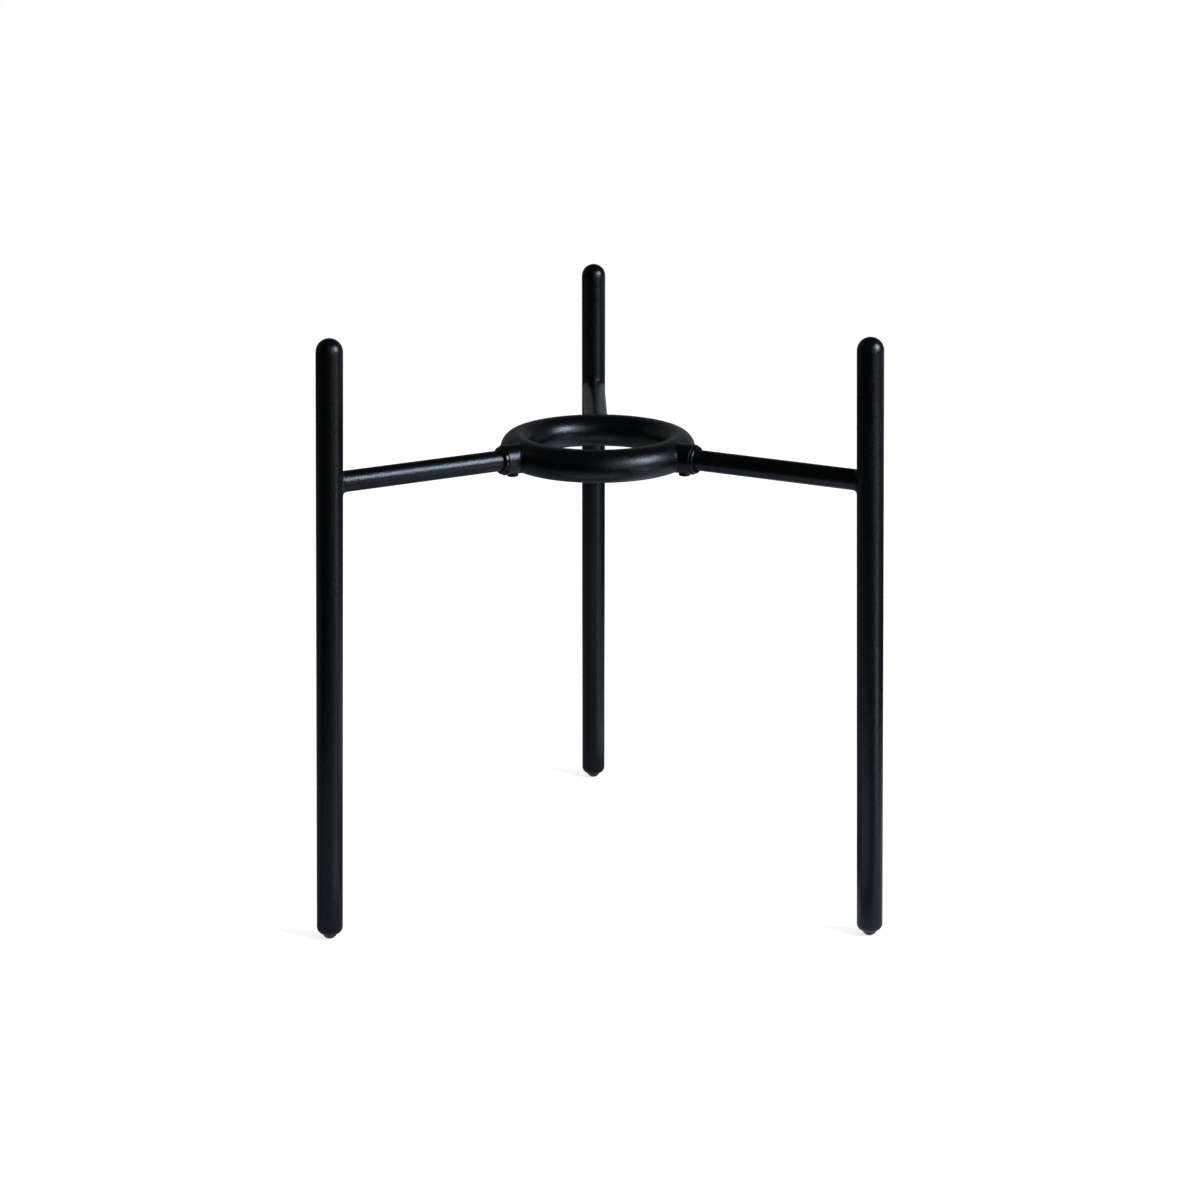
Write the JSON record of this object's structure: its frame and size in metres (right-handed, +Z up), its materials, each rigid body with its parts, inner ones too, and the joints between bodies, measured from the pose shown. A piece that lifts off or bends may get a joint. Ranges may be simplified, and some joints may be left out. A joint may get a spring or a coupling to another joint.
{
  "type": "plant stand",
  "caption": "Black tube plant stand: a small pot ring with three upright round legs. The rear one is welded on; the front two slide in clamped sockets.",
  "frame": {"origin": "on the floor, under the middle of the ring", "axes": "+Z up along the middle of the ring; +Y towards the rear leg; +X towards the right leg's side; the other two legs stand 120 degrees either side of the rear one"},
  "size_m": [0.348, 0.3037, 0.372],
  "materials": {
    "powder_coat": "satin black powder coat",
    "bush_plastic": "glossy black moulded plastic",
    "black_oxide": "black oxide, slightly glossy",
    "foot_rubber": "matt black rubber"
  },
  "bodies": {
    "frame": {"pot_ring": "powder_coat", "socket_left": "powder_coat", "socket_right": "powder_coat", "bush_left": "bush_plastic", "bush_right": "bush_plastic", "arm_rear": "powder_coat", "arm_weld_rear": "powder_coat", "leg_rear": "powder_coat", "foot_rear": "foot_rubber"},
    "left_leg_frame": {"arm_left": "powder_coat", "arm_weld_left": "powder_coat", "leg_left": "powder_coat", "foot_left": "foot_rubber"},
    "right_leg_frame": {"arm_right": "powder_coat", "arm_weld_right": "powder_coat", "leg_right": "powder_coat", "foot_right": "foot_rubber"},
    "left_clamp_screw": {"clamp_screw_left": "black_oxide"},
    "right_clamp_screw": {"clamp_screw_right": "black_oxide"}
  },
  "joints": [
    {"name": "left_arm_slide", "type": "slide", "parent": "frame", "child": "left_leg_frame", "axis": [-0.866, -0.5, 0], "range_m": [0, 0.01]},
    {"name": "right_arm_slide", "type": "slide", "parent": "frame", "child": "right_leg_frame", "axis": [0.866, -0.5, 0], "range_m": [0, 0.01]},
    {"name": "left_screw_turn", "type": "hinge", "parent": "frame", "child": "left_clamp_screw", "pos_m": [-0.05248, -0.0303, 0.277], "axis": [0, 0, -1], "range_deg": [0, 720]},
    {"name": "right_screw_turn", "type": "hinge", "parent": "frame", "child": "right_clamp_screw", "pos_m": [0.05248, -0.0303, 0.277], "axis": [0, 0, -1], "range_deg": [0, 720]}
  ]
}
